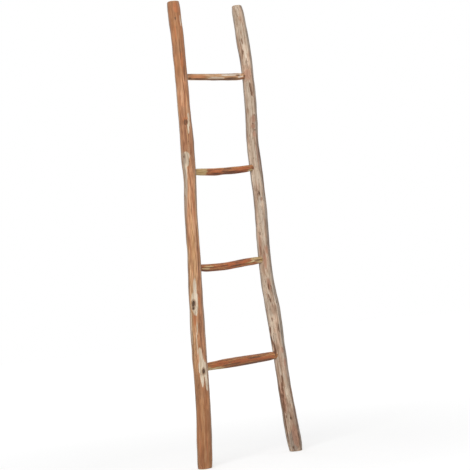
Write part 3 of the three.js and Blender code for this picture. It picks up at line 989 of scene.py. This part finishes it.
def whittle(piece, length):
    """Takes long flat chips off both ends of a rung, as a knife does round a tenon."""
    corners = corners_of(piece)
    turn = np.arctan2(corners[:, 1], corners[:, 0])
    from_tip = np.minimum(corners[:, 2], length - corners[:, 2])
    share = np.clip((WHITTLED - from_tip) / (WHITTLED * KNIFE_SLOPE), 0, 1) * KNIFE_BITE
    chip = 2 * math.pi / KNIFE_CUTS
    lean = (turn + corners[:, 2] * KNIFE_TWIST) % chip - chip / 2
    flat = math.cos(chip / 2) / np.cos(lean)
    corners[:, :2] *= (1 - share * (1 - flat))[:, None]
    place_corners(piece, corners)


def rung_places(name, length):
    """Even places along a rung, apart from those where a saw would meet a nail's hole."""
    steps = round(length / RUNG_STEP)
    places = [NEAR_END + (length - 2 * NEAR_END) * i / steps for i in range(steps + 1)]
    nails = [(rung_lies[name][0].inverted() @ nail_line(name, side)[0]).z for side in SIDES]
    return [place for place in places if all(abs(place - nail) > NAIL_SHANK for nail in nails)]


red_branch = peeled_wood(
    "red_branch_wood",
    skin=[paint(108, 62, 36), paint(148, 82, 46), paint(192, 116, 68), paint(212, 146, 98)],
    warm_skin=[paint(116, 70, 40), paint(154, 94, 52), paint(196, 132, 78), paint(216, 162, 110)],
    bare=[paint(158, 122, 72), paint(194, 158, 102), paint(220, 190, 140), paint(234, 212, 170)],
    grey=[paint(132, 110, 88), paint(150, 128, 104), paint(166, 144, 118), paint(182, 160, 134)],
    blush=paint(190, 104, 58),
    rubbed=0.70,
    lanes=0.20,
    freckled=0.72,
    shift=83.0,
)
tan_branch = peeled_wood(
    "tan_branch_wood",
    skin=[paint(136, 86, 54), paint(182, 124, 80), paint(214, 156, 110), paint(230, 184, 146)],
    warm_skin=[paint(146, 100, 62), paint(188, 138, 92), paint(220, 172, 126), paint(234, 194, 156)],
    bare=[paint(206, 176, 148), paint(228, 200, 172), paint(238, 214, 190), paint(244, 226, 206)],
    grey=[paint(150, 128, 108), paint(174, 154, 132), paint(192, 172, 150), paint(206, 188, 168)],
    blush=paint(204, 128, 84),
    rubbed=0.72,
    lanes=0.14,
    freckled=0.70,
    shift=61.0,
)
RUNG_WOODS = {
    "bottom_rung": red_branch,
    "lower_rung": red_branch,
    "upper_rung": red_branch,
    "top_rung": tan_branch,
}

for i, name in enumerate(RUNG_NAMES):
    pose, length = rung_lies[name]
    log = measure(name, pose, rung_places(name, length))
    rung = grow_log(name + "_wood", log, length, RUNG_SIDES, WORN_TIP)
    weather(rung, log, RUNG_MARKS[name], FIRST_SEED + NEXT_SEED * i, RUNG_RELIEF, PLAIN_TENON)
    whittle(rung, length)
    seat(rung, name, pose)
    bore(rung, [shank_drill(name, side) for side in SIDES])
    bpy.ops.object.shade_smooth_by_angle(angle=SHARP_ANGLE)
    record_grain(rung, log, RUNG_MARKS[name], pose, i * NEXT_GRAIN)
    rung.data.materials.append(RUNG_WOODS[name])
    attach(rung, "root")
    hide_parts(name)

# Eight wire nails hold the tenons from behind, one through each joint. Each has a flat round
# head, driven a little below the wood with a punch, and a short point. The steel has gone dull.

NAIL_LENGTH = 0.035
NAIL_POINT = 0.005
RUST_FINENESS = 420.0
PIT_FINENESS = 1500.0
PIT_DEPTH = 0.0003
PIT_STRENGTH = 0.4
PIT_SHADES = (0.35, 0.65)
STEEL = (paint(96, 94, 92), paint(138, 136, 132))
RUST = (paint(84, 50, 32), paint(128, 78, 46))
RUST_EDGE = (0.5, 0.6)
# From clean steel to full rust.
METAL = (0.85, 0.1)
ROUGHNESS = (0.42, 0.8)


def forge_nail():
    """A nail that stands on its point, turned about its own length."""
    neck = NAIL_LENGTH - NAIL_HEAD_DEPTH
    outline = [
        # height and girth of each ring
        (0, NAIL_SHANK * 0.24),
        (NAIL_POINT * 0.5, NAIL_SHANK * 0.62),
        (NAIL_POINT, NAIL_SHANK * 0.96),
        (NAIL_POINT * 1.2, NAIL_SHANK),
        (neck - 0.0006, NAIL_SHANK),
        (neck, NAIL_SHANK * 1.35),
        (neck + 0.0001, NAIL_HEAD * 0.92),
        (neck + 0.0005, NAIL_HEAD),
        (NAIL_LENGTH - 0.0005, NAIL_HEAD),
        (NAIL_LENGTH - 0.0001, NAIL_HEAD * 0.94),
        (NAIL_LENGTH, NAIL_HEAD * 0.86),
        (NAIL_LENGTH - 0.00025, NAIL_HEAD * 0.5),
        (NAIL_LENGTH - 0.0003, NAIL_HEAD * 0.2),
    ]
    bpy.ops.object.select_all(action="DESELECT")
    bpy.ops.mesh.primitive_circle_add(vertices=HEAD_SIDES, radius=outline[0][1] / 2, fill_type="NGON")
    nail = bpy.context.object
    bpy.ops.object.mode_set(mode="EDIT")
    for (height, girth), (next_height, next_girth) in zip(outline, outline[1:]):
        bpy.ops.mesh.extrude_region_move(TRANSFORM_OT_translate={"value": (0, 0, next_height - height)})
        bpy.ops.transform.resize(value=(next_girth / girth, next_girth / girth, 1),
                                 center_override=(0, 0, next_height))
    bpy.ops.mesh.select_all(action="SELECT")
    bpy.ops.mesh.normals_make_consistent(inside=False)
    bpy.ops.object.mode_set(mode="OBJECT")
    return nail


def dull_steel():
    """Grey steel wire with a bloom of rust."""
    material = bpy.data.materials.new("dull_nail_steel")
    material.use_nodes = True
    tree = material.node_tree
    shader = tree.nodes["Principled BSDF"]
    spot = add_node(tree, "ShaderNodeTexCoord").outputs["Object"]
    rust = add_node(tree, "ShaderNodeTexNoise",
                    {"Vector": spot, "Scale": RUST_FINENESS, "Detail": 5.0}).outputs[0]
    pits = add_node(tree, "ShaderNodeTexNoise",
                    {"Vector": spot, "Scale": PIT_FINENESS, "Detail": 3.0}).outputs[0]
    rusty = fade_node(tree, rust, *RUST_EDGE)
    steel = ramp_node(tree, pits, *zip(PIT_SHADES, STEEL))
    bloom = ramp_node(tree, pits, *zip(PIT_SHADES, RUST))
    tree.links.new(mix_node(tree, rusty, steel, bloom), shader.inputs["Base Color"])
    tree.links.new(fade_node(tree, rusty, 0, 1, *METAL), shader.inputs["Metallic"])
    tree.links.new(fade_node(tree, rusty, 0, 1, *ROUGHNESS), shader.inputs["Roughness"])
    bump = add_node(tree, "ShaderNodeBump",
                    {"Height": pits, "Strength": PIT_STRENGTH, "Distance": PIT_DEPTH})
    tree.links.new(bump.outputs[0], shader.inputs["Normal"])
    return material


nail_steel = dull_steel()
pattern_nail = forge_nail()
pattern_nail.data.materials.append(nail_steel)
for rung in RUNG_NAMES:
    for side in SIDES:
        nail = pattern_nail.copy()
        nail.data = pattern_nail.data.copy()
        nail.name = nail_name(rung, side) + "_steel"
        bpy.context.scene.collection.objects.link(nail)
        activate(nail)
        tip, head = nail_line(rung, side)
        nail.matrix_world = Matrix.Translation(tip) @ Matrix.Rotation(-math.pi / 2, 4, "X")
        bpy.ops.object.transform_apply(location=True, rotation=True, scale=True)
        bpy.ops.object.shade_smooth_by_angle(angle=SHARP_ANGLE)
        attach(nail, "root")
        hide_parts(nail_name(rung, side))
bpy.data.objects.remove(pattern_nail)
